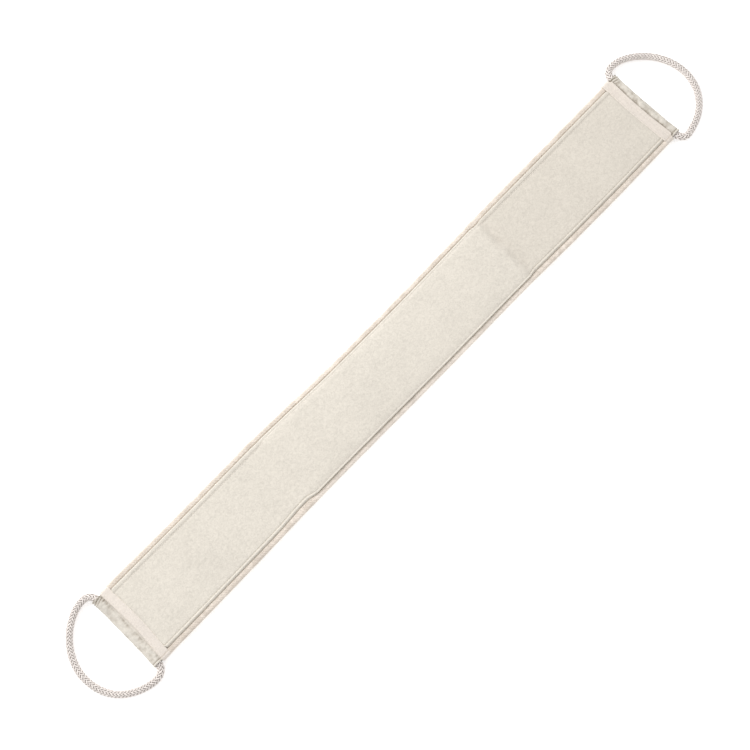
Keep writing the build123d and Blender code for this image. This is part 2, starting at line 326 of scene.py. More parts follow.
def cloth_material(name, colour, dark, grain, patches=0.05, roughness=0.92, sheen=0.25, ribs=()):
    """Matt fabric. Grain is (size, depth) and ribs are (spacing, direction, depth), in millimetres. Dark
    is its colour where the mesh's darkness is 1: painted shade, as deep in a seam, besides some darker
    patches."""
    material = bpy.data.materials.new(name)
    material.use_nodes = True
    nodes, links = material.node_tree.nodes, material.node_tree.links
    shader = nodes["Principled BSDF"]
    vector = coordinates(nodes, links)
    size, depth = grain[0] * mm, grain[1] * mm
    broad = noise_value(nodes, links, vector, 14 * size, 2.0)
    fine = noise_value(nodes, links, vector, size, 4.0, 1.2)
    fuzz = noise_value(nodes, links, vector, size / 4, 2.0)
    tones = []
    for level in (0.90, 1.06):
        deep, pale = scaled(colour, level - patches), scaled(colour, level + patches)
        tones.append(mixed(nodes, links, broad, deep, pale, 0.3, 0.7))
    speckled = mixed(nodes, links, fine, *tones, 0.32, 0.62)
    # Painted shade: the mesh's darkness mixes the colour towards dark in seams, creases, hollows and pits.
    shade = nodes.new("ShaderNodeAttribute")
    shade.attribute_name = "darkness"
    links.new(mixed(nodes, links, shade.outputs["Fac"], speckled, dark), shader.inputs["Base Color"])
    normal = bumped(nodes, links, fine, depth, 0.9)
    normal = bumped(nodes, links, fuzz, depth / 3, 0.8, normal)
    for spacing, direction, rib_depth in ribs:
        height = ribs_value(nodes, links, vector, spacing * mm, direction)
        normal = bumped(nodes, links, height, rib_depth * mm, 0.8, normal)
    links.new(normal, shader.inputs["Normal"])
    shader.inputs["Roughness"].default_value = roughness
    shader.inputs["Specular IOR Level"].default_value = 0.25
    shader.inputs["Sheen Weight"].default_value = sheen
    shader.inputs["Sheen Roughness"].default_value = 0.6
    return material


# Each dark colour is the cloth at full darkness: painted shade deep in seams, creases, folds and rope
# pits.
fabrics = {
    "face_cloth": dict(
        colour=(0.698, 0.650, 0.573), dark=(0.42, 0.35, 0.28), grain=(2.2, 0.28), patches=0.02,
        ribs=[(0.9, "X", 0.12), (0.9, "Y", 0.12)],
    ),
    "wadding": dict(colour=(0.86, 0.85, 0.82), dark=(0.70, 0.69, 0.66), grain=(3.0, 0.8)),
    "lining_cloth": dict(
        colour=(0.78, 0.75, 0.69), dark=(0.62, 0.58, 0.51), grain=(1.5, 0.1),
        ribs=[(0.8, "X", 0.1), (0.8, "Y", 0.1)],
    ),
    "loofah": dict(
        colour=(0.72, 0.59, 0.38), dark=(0.36, 0.26, 0.13), grain=(1.1, 0.3), patches=0.16, sheen=0.05,
    ),
    "loofah_core": dict(
        colour=(0.44, 0.33, 0.18), dark=(0.20, 0.14, 0.07), grain=(1.6, 0.9), patches=0.2, sheen=0.0,
    ),
    "binding_tape": dict(
        colour=(0.86, 0.775, 0.69), dark=(0.50, 0.42, 0.34), grain=(1.4, 0.25), patches=0.09,
        ribs=[(1.1, "DIAGONAL", 0.25)],
    ),
    "thread": dict(
        colour=(0.80, 0.745, 0.665), dark=(0.55, 0.47, 0.38), grain=(0.5, 0.06),
        ribs=[(0.35, "DIAGONAL", 0.06)],
    ),
    "end_tape": dict(
        colour=(0.735, 0.67, 0.605), dark=(0.50, 0.42, 0.34), grain=(1.5, 0.15), patches=0.03,
        ribs=[(0.8, "Y", 0.12)],
    ),
    "hem_cloth": dict(
        colour=(0.685, 0.64, 0.57), dark=(0.33, 0.28, 0.22), grain=(1.8, 0.35), patches=0.09,
        ribs=[(0.9, "X", 0.15), (0.9, "Y", 0.1)],
    ),
    "cotton_rope": dict(colour=(0.85, 0.79, 0.75), dark=(0.15, 0.11, 0.09), grain=(0.9, 0.15)),
    "whipping": dict(
        colour=(0.74, 0.68, 0.60), dark=(0.45, 0.38, 0.30), grain=(0.5, 0.08),
        ribs=[(0.5, "Y", 0.2)],
    ),
}
materials = {name: cloth_material(name, **look) for name, look in fabrics.items()}


# The strap's shape


def edge(x, side):
    """Distance of the binding's outer edge from the centreline at each x."""
    places, distances = edges[side].T
    shifts = np.linspace(-edge_softening, edge_softening, 7)
    return np.mean([np.interp(x + shift, places, distances) for shift in shifts], axis=0)


def middle_share(x):
    """0 in the end sections and 1 in the middle one, changing over each crease."""
    after_lower = smooth((x - fold_lower.x) / crease_run + 0.5)
    before_upper = smooth((fold_upper.x - x) / crease_run + 0.5)
    return after_lower * before_upper


def seam_stray(x, side):
    """How far the seam beside a binding strays inwards at a crease. Its rise and fall are (x, length)."""
    if side < 0:
        rise, fall, stray = (-185 * mm, 35 * mm), (-147 * mm, 12 * mm), 1.2 * mm
    else:
        rise, fall, stray = (140 * mm, 5 * mm), (149 * mm, 6 * mm), 0.9 * mm
    return stray * smooth((x - rise[0]) / rise[1]) * (1 - smooth((x - fall[0]) / fall[1]))


def shoulder(x, side):
    """Control points (y, z) of the face cloth beside one binding, at each x."""
    share = middle_share(x)[:, None]
    ends = np.array(end_shoulder[side]) * mm
    middle = np.array(middle_shoulder[side]) * mm
    inset = ends[:, 0] * (1 - share) + middle[:, 0] * share
    inset[:, 1:] += seam_stray(x, side)[:, None]
    height = ends[:, 1] * (1 - share) + middle[:, 1] * share
    return np.stack([side * (edge(x, side)[:, None] - inset), height], -1)


curve_points = 4
flat_corners = 12


def face_grid(x):
    """The face cloth's upper side before its relief: a row of points for each x, from left to right."""
    left = shoulder(x, 1)
    right = shoulder(x, -1)[:, ::-1]
    share = middle_share(x)[:, None]
    across = np.linspace(0, 1, flat_corners + 2)[1:-1]
    flat = left[:, -1:] * (1 - across)[:, None] + right[:, :1] * across[:, None]
    crown = end_crown * (1 - share) + middle_crown * share
    flat[:, :, 1] += crown * (1 - (2 * across - 1) ** 2)
    return at_stations(x, rounded(np.concatenate([left, flat, right], 1), curve_points))


def seam_column(corner, side):
    """The face grid's column at a shoulder corner."""
    columns = (2 * len(end_shoulder[1]) + flat_corners - 2) * curve_points + 1
    column = (corner - 1) * curve_points + curve_points // 2
    return column if side > 0 else columns - 1 - column


def crease_valley(x, y, fold, depth, width, seed):
    """A soft uneven valley across the strap at a crease."""
    flat = np.stack([x, y, np.zeros_like(x)], -1)
    wander = 3.5 * mm * lumps(flat * (0, 1, 1), 11 * mm, seed)
    depth = depth * np.clip(0.9 + 1.5 * lumps(flat, 6 * mm, seed + 1), 0.2, 1.8)
    return depth * np.exp(-(((x - fold.x - wander) / width) ** 2))


def hem_skew(end, y):
    """How far the end band's ends lie further out than its middle."""
    if end == "lower":
        left = 1.3 * mm * smooth((y - 6 * mm) / (36 * mm))
        right = 1.7 * mm * smooth((-2 * mm - y) / (38 * mm))
    else:
        left = 1.3 * mm * smooth((y - 8 * mm) / (34 * mm))
        right = 1.1 * mm * smooth((-8 * mm - y) / (34 * mm))
    return left + right


def above_flange(z):
    """0 on the seam allowances and 1 on the panel."""
    return smooth((z - flange_top) / (1.6 * mm))


def with_relief(grid):
    """The face cloth's grid with its waves, nubs and creases, and drawn down into the hems."""
    x, y, z = np.moveaxis(grid, -1, 0)
    flat = grid * (1, 1, 0)
    free = above_flange(z)
    near_crease = np.exp(-(((x - fold_upper.x) / (9 * mm)) ** 2))
    x = x + free * near_crease * 2.6 * mm * lumps(flat * (0, 1, 1), 13 * mm, 12)  # the crease wanders
    waves = 0.30 * mm * lumps(flat, 42 * mm, 1) + 0.14 * mm * lumps(flat, 12 * mm, 2)
    nubs = 0.10 * mm * lumps(flat, 4.5 * mm, 3)
    valleys = crease_valley(x, y, fold_lower, 0.12 * mm, 4 * mm, 4)
    valleys += crease_valley(x, y, fold_upper, 0.5 * mm, 3.5 * mm, 6)
    z = z + free * (waves + nubs - valleys)
    run = 1.6 * mm  # length over which it comes down to the seam allowance's height
    lower_end = (x - panel_lower_x + hem_skew("lower", y) + 0.6 * mm) / run
    upper_end = (panel_upper_x + hem_skew("upper", y) - x + 0.6 * mm) / run
    z = flange_top + (z - flange_top) * smooth(lower_end) * smooth(upper_end)
    return np.stack([x, y, z], -1)


def drawn_into_hem(points):
    """Narrows a layer where it runs on into a hem."""
    inside = np.minimum(points[..., 0] - panel_lower_x, panel_upper_x - points[..., 0])
    narrower = 0.055 * smooth(-inside / mm)
    points = points.copy()
    points[..., 1] *= 1 - narrower
    return points


def face_darkness(grid):
    """Painted shade: darker deep in the seams, in the upper crease and a little all over the upper
    section, which is less well lit.
    """
    x, y, z = np.moveaxis(grid, -1, 0)
    share = middle_share(x)
    # painted shade deep in the seams beside the bindings, stronger on the left side and in the middle
    # section
    seam_shade_strength = np.where(y > 0, 0.10 + 0.55 * share, 0.02 + 0.30 * share)
    off_hem = smooth((np.minimum(x - panel_lower_x, panel_upper_x - x) - 1.5 * mm) / (4 * mm))
    seam = seam_shade_strength * off_hem * (1 - smooth((z - flange_top) / (1.2 * mm)))
    # painted shade in the upper crease's valley
    crease = 0.09 * crease_valley(x, y, fold_upper, 1.0, 5 * mm, 9)
    # painted shade over the upper section, which is less well lit
    upper = 0.10 * smooth((x - fold_upper.x) / (16 * mm) + 0.5)
    return np.clip(seam + crease + upper, 0, 1)


# Strap pieces. The long ones are made in two halves that meet at the waist, one over each crease.
# Each half has its start, its end, the hem it runs into, and that hem's side along X.


halves = {
    "lower_half": (panel_lower_x, waist_x, "lower", -1),
    "upper_half": (waist_x, panel_upper_x, "upper", 1),
}


def bend(piece):
    """Bakes a piece's placement into its mesh."""
    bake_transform(piece)


def finish_half(piece, half, node):
    """Bakes a half's placement into its mesh, and hides its end section's node and the middle section's in
    its place.
    """
    _, _, end, hem_side = halves[half]
    bend(piece)
    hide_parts(f"{node}_{end}", f"{node}_middle")


def half_stations(half, step, hem_reach=0.0):
    """Places along a half; hem_reach goes on past the panel into the hem."""
    start, end, _, hem_side = halves[half]
    if hem_side < 0:
        start -= hem_reach
    else:
        end += hem_reach
    return stations(start, end, step)


def make_face_cloth(half):
    """Face cloth over the pad, with its seam allowances inside the bindings and the hem."""
    step = 1.25 * mm
    x = half_stations(half, step, hem_tab)
    grid = with_relief(face_grid(x))
    thickness = (0.45 + 0.45 * above_flange(grid[..., 2:])) * mm
    under = grid + grid_normals(grid) * thickness
    under[..., 2] = np.maximum(under[..., 2], lining_top + 0.02 * mm)
    points = drawn_into_hem(np.stack([grid, under]))
    darkness = np.stack([face_darkness(grid), face_darkness(grid)])
    faces = sheet_faces(*grid.shape[:2])
    piece = mesh_piece(f"face_cloth_{half}", points, faces, materials["face_cloth"], darkness)
    finish_half(piece, half, "face_cloth")


def make_wadding(half):
    """Wadding that fills the space under the face cloth."""
    x = half_stations(half, 2 * mm)
    x = x[2:] if half == "lower_half" else x[:-2]  # stops short of the hem
    first, last = seam_column(ridge_corner, 1), seam_column(ridge_corner, -1)
    upper = with_relief(face_grid(x))[:, first:last + 1:2]
    upper[..., 2] -= 1.45 * mm - 0.2 * mm * lumps(upper, 8 * mm, 11)
    under = upper * (1, 1, 0) + Vector((0, 0, lining_top + 0.1 * mm))
    faces = sheet_faces(*upper.shape[:2])
    piece = mesh_piece(f"wadding_{half}", np.stack([upper, under]), faces, materials["wadding"])
    finish_half(piece, half, "wadding")


def flat_rows(x, inset, step):
    """A flat grid between the two edges, inset from them."""
    across = np.linspace(0, 1, round(84 * mm / step))[None, :]
    left = (edge(x, 1) - inset)[:, None]
    right = -(edge(x, -1) - inset)[:, None]
    y = left * (1 - across) + right * across
    return np.stack([np.broadcast_to(x[:, None], y.shape), y, np.zeros_like(y)], -1)


def make_lining(half):
    """Thin cloth between the wadding and the loofah."""
    step = 3 * mm
    x = half_stations(half, step, hem_tab)
    flat = flat_rows(x, 1.6 * mm, step)
    upper = flat + Vector((0, 0, lining_top))
    under = flat + Vector((0, 0, loofah_top + 0.03 * mm))
    points = drawn_into_hem(np.stack([upper, under]))
    piece = mesh_piece(f"lining_{half}", points, sheet_faces(*flat.shape[:2]), materials["lining_cloth"])
    finish_half(piece, half, "lining")


def binding_controls(x, side):
    """Closed outline (y, z) of the binding tape folded over the strap's edge, at each x."""
    share = middle_share(x)[:, None]
    reach = end_binding[side] * (1 - share) + middle_binding[side] * share
    reach = reach + seam_stray(x, side)[:, None]
    wave = lumps(np.stack([x, x * 0 + side, x * 0], -1), 16 * mm, 21)[:, None] * 0.2 * mm
    # (share of the reach, height in millimetres)
    top = [(0.95, 5.8), (0.6, 6.3), (0.25, 6.4)] if side > 0 else [(0.97, 6.1), (0.6, 6.5), (0.25, 6.25)]
    outer = [(1.0, 5.15), *top, (0.0, 5.3), (0.0, 4.2), (0.0, 3.2)]
    outer += [(0.25, 2.3), (0.6, 2.1), (0.97, 2.4), (1.0, 3.15)]
    inner = [(0.9, 3.25), (0.28, 3.25), (0.25, 4.1), (0.28, 5.08), (0.9, 5.08)]
    outline = np.array(outer + inner)
    inset = reach * outline[:, 0] + wave
    height = np.broadcast_to(outline[:, 1] * mm, inset.shape)
    return np.stack([side * (edge(x, side)[:, None] - inset), height], -1)


def binding_darkness(grid, side, pucker):
    """Painted shade in the puckers, darker where they sink and less dark where they rise; also darker in
    patches and along the end sections.
    """
    share = middle_share(grid[..., 0])
    tone = 0.72 * (1 - share) + 0.36 * share if side > 0 else 0.68 * (1 - share)
    patches = 0.5 * lumps(grid * (1, 0.3, 0.3), 7 * mm, 26 + side)
    # painted shade where the puckers sink, less where they rise
    return np.clip(0.08 - 0.5 * pucker + (tone + patches), 0, 1) * 0.5


def make_binding(half, name, side):
    """Binding tape, with the slanting ribs and puckers of a sewn bias tape."""
    hem_reach = 0.4 * mm + hem_skew(halves[half][2], side * binding_y)
    x = half_stations(half, 0.7 * mm, hem_reach)
    grid = at_stations(x, rounded_ring(binding_controls(x, side), 3))
    slant = np.sin(2 * math.pi * (grid[..., 0] / (2.3 * mm) + side * grid[..., 1] / (3.1 * mm)))
    pucker = lumps(grid, 3.0 * mm, 23 + side)
    lift = (0.07 * slant + 0.16 * pucker) * mm
    height = grid[..., 2]
    on_top = smooth((height - 5.4 * mm) / (0.6 * mm))
    beneath = smooth((2.9 * mm - height) / (0.6 * mm))
    grid[..., 2] += lift * (on_top - beneath)
    on_edge = (1 - on_top - beneath) * smooth(2 - np.abs(height - 4.2 * mm) / mm)
    grid[..., 1] += side * lift * on_edge * 0.6
    faces = ring_faces(*grid.shape[:2])
    darkness = binding_darkness(grid, side, pucker)
    piece = mesh_piece(f"{name}_{half}", grid, faces, materials["binding_tape"], darkness)
    finish_half(piece, half, name)


stitch_spacing = 3.3 * mm
stitch_length = 2.5 * mm
stitch_profile = np.array([0.35, 0.9, 1.0, 0.9, 0.35])


def stitches(path, lift):
    """Points and faces of a row of stitches along a path; each one bows up by lift over its middle."""
    runs = np.linalg.norm(np.diff(path, axis=0), axis=1)
    travelled = np.concatenate([[0], np.cumsum(runs)])
    count = int(travelled[-1] / stitch_spacing)
    centres = (np.arange(count) + 0.5) * travelled[-1] / count
    spots = np.linspace(-0.5, 0.5, len(stitch_profile)) * stitch_length
    places = centres[:, None] + spots
    lines = np.stack([np.interp(places, travelled, path[:, axis]) for axis in range(3)], -1)
    lines[..., 2] += lift * np.array([-0.6, 0.6, 1.0, 0.6, -0.6])
    return tubes(lines, straight_up, 0.26 * mm * stitch_profile, 0.22 * mm * stitch_profile, 6)


def joined(parts):
    """Points and faces of several meshes as one."""
    points, faces, start = [], [], 0
    for part_points, part_faces in parts:
        faces += [[index + start for index in face] for face in part_faces]
        points.append(part_points)
        start += len(part_points)
    return np.concatenate(points), faces


def make_panel_stitches(half):
    """Stitches in the grooves beside the two ridges."""
    x = half_stations(half, 1.25 * mm)[2:-2]
    grid = with_relief(face_grid(x))
    rows = [stitches(grid[:, seam_column(groove_corner, side)], 0.12 * mm) for side in (1, -1)]
    piece = mesh_piece(f"panel_stitches_{half}", *joined(rows), materials["thread"])
    finish_half(piece, half, "panel_stitches")


def make_binding_stitches(half):
    """Stitches along the two bindings."""
    x = half_stations(half, 1.25 * mm)[1:-1]
    rows = []
    for side in (1, -1):
        outline = binding_controls(x, side)
        seam = 0.45 * outline[:, 1] + 0.55 * outline[:, 2]
        path = np.stack([x, seam[:, 0], seam[:, 1]], -1)
        rows.append(stitches(path, 0.12 * mm))
    piece = mesh_piece(f"binding_stitches_{half}", *joined(rows), materials["thread"])
    finish_half(piece, half, "binding_stitches")


# Loofah


def from_hem(x, y):
    """Distance in from the nearer end band's inner edge."""
    lower_end = x - panel_lower_x + hem_skew("lower", y)
    upper_end = panel_upper_x + hem_skew("upper", y) - x
    return np.minimum(lower_end, upper_end) - band_overlap


fibres_per_metre = 23000
pressed_loofah = 3.35 * mm  # height of its under side where it is sewn in
end_clearance = 1.5 * mm  # of the fibres from a hem
fold_clearance = 0.4 * mm  # of the fibres from the next sheet
edge_clearance = 5.5 * mm  # of the fibres from the strap's edges
hem_gap = 0.3 * mm  # beside the hem, where the loofah is still pressed flat
fibre_spread = 38 * mm  # fibres start up to this far from the centreline
fibre_taper = np.array([0.5, 0.9, 1.0, 1.0, 1.0, 0.9, 0.5])


def loofah_slab(x):
    """Upper and under side of a loofah sheet, pressed thin where it is sewn into bindings and hem."""
    sides = []
    for side in (1, -1):
        outline = np.array([(1.6, 3.35), (4.9, 3.35), (6.1, 2.6), (7.8, 1.2), (10.0, 0.9)]) * mm
        y = side * (edge(x, side)[:, None] - outline[:, 0])
        sides.append(np.stack([y, np.broadcast_to(outline[:, 1], y.shape)], -1))
    left, right = sides[0], sides[1][:, ::-1]
    across = np.linspace(0, 1, 14)[1:-1, None]
    flat = left[:, -1:] * (1 - across) + right[:, :1] * across
    under = at_stations(x, rounded(np.concatenate([left, flat, right], 1), 3))
    full = smooth((3.3 * mm - under[..., 2]) / (1.5 * mm))
    under[..., 2] += full * 0.35 * mm * lumps(under, 3.5 * mm, 31)
    off_hem = smooth((from_hem(under[..., 0], under[..., 1]) - hem_gap) / (3.2 * mm))
    under[..., 2] = pressed_loofah + (under[..., 2] - pressed_loofah) * off_hem
    upper = under * (1, 1, 0) + Vector((0, 0, loofah_top - 0.03 * mm))
    return upper, under


def loofah_fibres(start, end, seed):
    """Curling fibres matted over the under side of a loofah sheet, turned back at its borders."""
    random = np.random.default_rng(seed)
    count = round((end - start) * fibres_per_metre)
    points = len(fibre_taper)
    step = random.uniform(1.2, 3.6, (count, 1)) * mm
    heading = random.uniform(0, 2 * math.pi, (count, 1))
    heading = heading + np.cumsum(random.normal(0, 0.34, (count, points)), 1)
    x = random.uniform(start, end, (count, 1)) + np.cumsum(np.cos(heading) * step, 1)
    y = random.uniform(-fibre_spread, fibre_spread, (count, 1)) + np.cumsum(np.sin(heading) * step, 1)
    low = start + (end_clearance if start == panel_lower_x else fold_clearance)
    high = end - (end_clearance if end == panel_upper_x else fold_clearance)
    x = low + np.abs(x - low)
    x = np.clip(high - np.abs(high - x), low, high)
    left_room, right_room = edge(x.ravel(), 1), edge(x.ravel(), -1)
    room = np.where(y > 0, left_room.reshape(x.shape), right_room.reshape(x.shape)) - edge_clearance
    y = np.sign(y) * (room - np.abs(room - np.abs(y)))
    level = random.uniform(0.35, 1.1, (count, 1)) + random.normal(0, 0.12, (count, points))
    border = np.minimum(room - np.abs(y), from_hem(x, y) - hem_gap)
    slope = np.interp(border, [0, 1.1 * mm, 2.5 * mm, 4.7 * mm], [1.6, 0.9, 0.1, 0.0])
    z = (np.clip(level, 0.3, 1.3) + slope) * mm
    lines = np.stack([x, y, z], -1)
    coarse, fine = lines[::5], np.delete(lines, np.s_[::5], axis=0)
    thick = tubes(coarse, straight_up, 0.34 * mm * fibre_taper, 0.26 * mm * fibre_taper, 4)
    thin = tubes(fine, straight_up, 0.19 * mm * fibre_taper, 0.17 * mm * fibre_taper, 3)
    return joined([thick, thin])


def make_loofah(name, start, end, seed, hem_side, section):
    """A loofah sheet: its matted core and the fibres over it, as one piece in two materials."""
    low = start - (hem_tab if start == panel_lower_x else 0)
    high = end + (hem_tab if end == panel_upper_x else 0)
    upper, under = loofah_slab(stations(low, high, 2.0 * mm))
    slab_points = drawn_into_hem(np.stack([upper, under])).reshape(-1, 3)
    slab_faces = sheet_faces(*upper.shape[:2])
    points, faces = joined([(slab_points, slab_faces), loofah_fibres(start, end, seed)])
    piece = mesh_piece(f"loofah_sheet_{name}", points, faces, materials["loofah_core"])
    piece.data.materials.append(materials["loofah"])
    slots = np.zeros(len(faces), np.int32)
    slots[len(slab_faces):] = 1
    piece.data.polygons.foreach_set("material_index", slots)
    bend(piece)
    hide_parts(f"loofah_sheet_{section}")


def make_loofah_sheets():
    """One sheet for each section; the middle one is made in two halves."""
    gap = 0.25 * mm  # beside each crease
    sheets = [
        ("lower_end", panel_lower_x, fold_lower.x - gap, 62, -1, "lower"),
        ("middle_a", fold_lower.x + gap, waist_x, 61, -1, "middle"),
        ("middle_b", waist_x, fold_upper.x - gap, 61, 1, "middle"),
        ("upper_end", fold_upper.x + gap, panel_upper_x, 62, 1, "upper"),
    ]
    for sheet in sheets:
        make_loofah(*sheet)


# Hems


# Each end's side along X, its tunnel's axis, the end of its panel and its rope's route
hems = {
    "lower": (-1, joint_at["lower_loop_swing"], panel_lower_x, lower_route),
    "upper": (1, joint_at["upper_loop_swing"], panel_upper_x, upper_route),
}
tunnel_half_length = 40.6 * mm
tunnel_rise = {"lower": [(-5.0, 6.2), (-3.6, 8.7)], "upper": [(-4.4, 5.9), (-2.7, 8.3)]}  # beside the band


def tunnel_outline(end, depth):
    """Closed outline of the folded hem cloth: (out from the tunnel's axis, height), in millimetres.
    depth is the distance from the axis in to the panel."""
    outer = [(-depth + 1, 5.95), (-8.5, 5.95), *tunnel_rise[end], (0.2, 9.7), (4.4, 9.1), (5.0, 4.6)]
    outer += [(4.2, 0.1), (0.0, -0.35), (-4.0, 0.2), (-5.6, 2.3), (-8.5, 2.5), (-depth + 1, 2.5)]
    inner = [(-depth + 1.2, 3.3), (-6.0, 3.3), (-4.1, 1.3), (0.0, 0.2), (3.9, 0.9), (4.3, 4.6)]
    inner += [(3.9, 8.3), (0.0, 8.9), (-3.0, 7.7), (-4.6, 5.3), (-depth + 1.2, 5.1)]
    return np.array([outer + inner]) * mm


def mouth_folds(y, out):
    """Small folds that slant in from the left mouth of a tunnel."""
    near = smooth(1 - (tunnel_half_length - y) / (10 * mm))
    return np.sin(2 * math.pi * (y + 0.35 * out) / (2.6 * mm)) * near * 0.6 * mm


def tunnel_lift(grid, folds, from_mouth):
    """How far the cloth of a tunnel stands out in its folds and wrinkles and at its turned rims."""
    wrinkles = 0.5 * mm * lumps(grid * (1.0, 0.6, 1.0) + (0, 0, 0.3), 4.5 * mm, 51)
    wrinkles += 0.3 * mm * lumps(grid * (0.4, 1.0, 0.4), 2.2 * mm, 52)
    rim = 0.35 * mm * smooth(1 - np.abs(from_mouth - 0.9 * mm) / (0.9 * mm))
    rim -= 0.45 * mm * smooth(1 - np.abs(from_mouth - 2.2 * mm) / (0.7 * mm))
    return folds + wrinkles + rim


def tunnel_darkness(end, grid, out, lift, folds):
    """Painted shade in the hollows and folds and where the cloth goes under the end band, with a painted
    shadow of the upper band's lip; also darker in the right side seam.
    """
    y = grid[..., 1]
    # painted shade in the sunken wrinkles, in the groove behind each rim and in the folds
    darkness = -1.5 * lift / mm + 0.8 * smooth(-folds / (0.5 * mm))
    darkness += 0.7 * smooth(1 - np.abs(y + tunnel_half_length - 2.3 * mm) / (0.7 * mm))
    if end == "upper":
        # painted shadow of the upper band's lip on the tunnel, in a zigzag
        zigzag = np.abs(np.sin(math.pi * y / (3.1 * mm)))
        darkness += (0.24 + 0.38 * zigzag) * smooth(1 - np.abs(out + 3.2 * mm) / (1.5 * mm))
    else:
        # painted shade where the lower tunnel's cloth goes under the band, in uneven puckers
        puckers = 0.32 + 0.9 * lumps(grid * (0.3, 1.0, 0.3), 1.6 * mm, 53)
        darkness += np.clip(puckers, 0.1, 0.7) * smooth(1 - np.abs(out + 4.4 * mm) / (1.3 * mm))
    return np.clip(darkness, 0, 1)


def make_rope_tunnel(end):
    """Hem cloth folded round the rope, with wrinkles and a turned rim at each mouth."""
    hem_side, axis, panel_x, _ = hems[end]
    outline = rounded_ring(tunnel_outline(end, abs(panel_x - axis.x) / mm), 3)[0]
    y = stations(-tunnel_half_length, tunnel_half_length, 0.7 * mm)
    rows = np.broadcast_to(outline, (len(y), *outline.shape))
    out, z = rows[..., 0], rows[..., 1]
    grid = np.stack([axis.x + hem_side * out, np.broadcast_to(y[:, None], out.shape), z], -1)
    from_mouth = tunnel_half_length - np.abs(grid[..., 1])
    folds = mouth_folds(grid[..., 1], out)
    radial = np.stack([out, z - axis.z], -1)
    distance = np.linalg.norm(radial, axis=-1, keepdims=True)
    radial = radial / distance
    around = smooth((out + 7 * mm) / (3 * mm)) * smooth((distance[..., 0] - 4.0 * mm) / (0.4 * mm))
    lift = tunnel_lift(grid, folds, from_mouth) * around
    bow = smooth(out / (4 * mm)) * smooth(from_mouth / (16 * mm)) * 0.8 * mm
    grid[..., 0] += hem_side * (lift * radial[..., 0] - bow * around)
    grid[..., 2] = np.maximum(grid[..., 2] + lift * radial[..., 1], 0.02 * mm)
    darkness = tunnel_darkness(end, grid, out, lift, folds)
    faces = ring_faces(*grid.shape[:2])
    if hem_side > 0:
        faces = [face[::-1] for face in faces]
    piece = mesh_piece(f"rope_tunnel_cloth_{end}", grid, faces, materials["hem_cloth"], darkness)
    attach(piece, f"{end}_section")
    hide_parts(f"rope_tunnel_{end}")


def band_loop(half_width, low, high, step):
    """Centreline (y, z) of the end band round the strap, and its outward normals."""
    radius = (high - low) / 2
    middle = (high + low) / 2
    reach = half_width - radius
    flat = stations(reach, -reach, step)
    top = [(y, high, 0, 1) for y in flat]
    under = [(-y, low, 0, -1) for y in flat]
    ends = []
    for side in (-1, 1):
        turn = np.linspace(0, math.pi, 9)[1:-1]
        normals = [(side * math.sin(angle), -side * math.cos(angle)) for angle in turn]
        ends.append([(side * reach + radius * y, middle + radius * z, y, z) for y, z in normals])
    return np.array(top + ends[0] + under + ends[1])


# Cross-sections of the end bands: (along the strap, height above the cloth), in millimetres. The upper
# one ends in a lip that lies up on the tunnel.
band_profiles = {
    "lower": [(0.0, 0.0), (0.0, 0.8), (0.7, 1.25), (2.6, 1.15), (5.0, 1.3), (7.5, 1.15), (9.1, 1.25)],
    "upper": [(0.0, 0.0), (0.0, 0.9), (0.8, 1.4), (2.4, 0.9), (4.6, 1.5), (6.8, 1.2), (8.4, 2.0)],
}
band_profiles["lower"] += [(9.8, 0.9), (9.8, 0.0)]
band_profiles["upper"] += [(9.7, 2.9), (10.2, 2.3), (9.2, 1.1), (8.8, 0.1)]
band_width = {"lower": 9.8 * mm, "upper": 8.2 * mm}  # without the lip
side_seam_y = -38.7 * mm


def make_end_band(end):
    """Tape sewn round the end of the strap, puffed up between its two rows of stitches."""
    hem_side, _, panel_x, _ = hems[end]
    loop = band_loop(half_width=41.35 * mm, low=2.45 * mm, high=5.97 * mm, step=0.9 * mm)
    loop_y, loop_z, normal_y, normal_z = loop.T[:, :, None]
    profile = rounded_ring(np.array([band_profiles[end]]) * mm, 3)[0]
    lip = smooth((40 * mm - np.abs(loop_y)) / (3 * mm)) * (normal_z > 0)
    along = np.minimum(profile[:, 0], band_width[end])
    along = along + (profile[:, 0] - along) * lip
    lift = np.minimum(profile[:, 1], 1.6 * mm)
    lift = lift + (profile[:, 1] - lift) * lip
    x = panel_x + hem_side * (along + hem_skew(end, loop_y) - band_overlap)
    grid = np.stack([x, loop_y + lift * normal_y, loop_z + lift * normal_z], -1)
    puffs = 0.14 * mm * lumps(grid * (1, 0.6, 1), 5 * mm, 61) + 0.05 * mm * lumps(grid, 2 * mm, 62)
    side_seam = smooth(1 - np.abs(grid[..., 1] - side_seam_y) / (0.8 * mm))
    puffs = (puffs - 0.45 * mm * side_seam) * smooth(lift / (0.7 * mm))
    grid[..., 1] += puffs * normal_y
    grid[..., 2] += puffs * normal_z
    faces = grid_quads(*grid.shape[:2], closed_rows=True, closed_columns=True)
    if hem_side < 0:
        faces = faces[:, ::-1]
    # painted shade where the band sinks to the cloth at its edges; also darker along the side seam
    darkness = np.clip(0.5 * (1 - smooth(lift / (0.9 * mm))) + 0.6 * side_seam, 0, 1)
    # painted shade: the upper band a little darker all over, like the upper section's cloth
    if end == "upper":
        darkness = np.maximum(darkness, 0.08)
    name = f"end_band_tape_{end}"
    piece = mesh_piece(name, grid, faces.tolist(), materials["end_tape"], darkness)
    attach(piece, f"{end}_section")
    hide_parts(f"end_band_{end}")


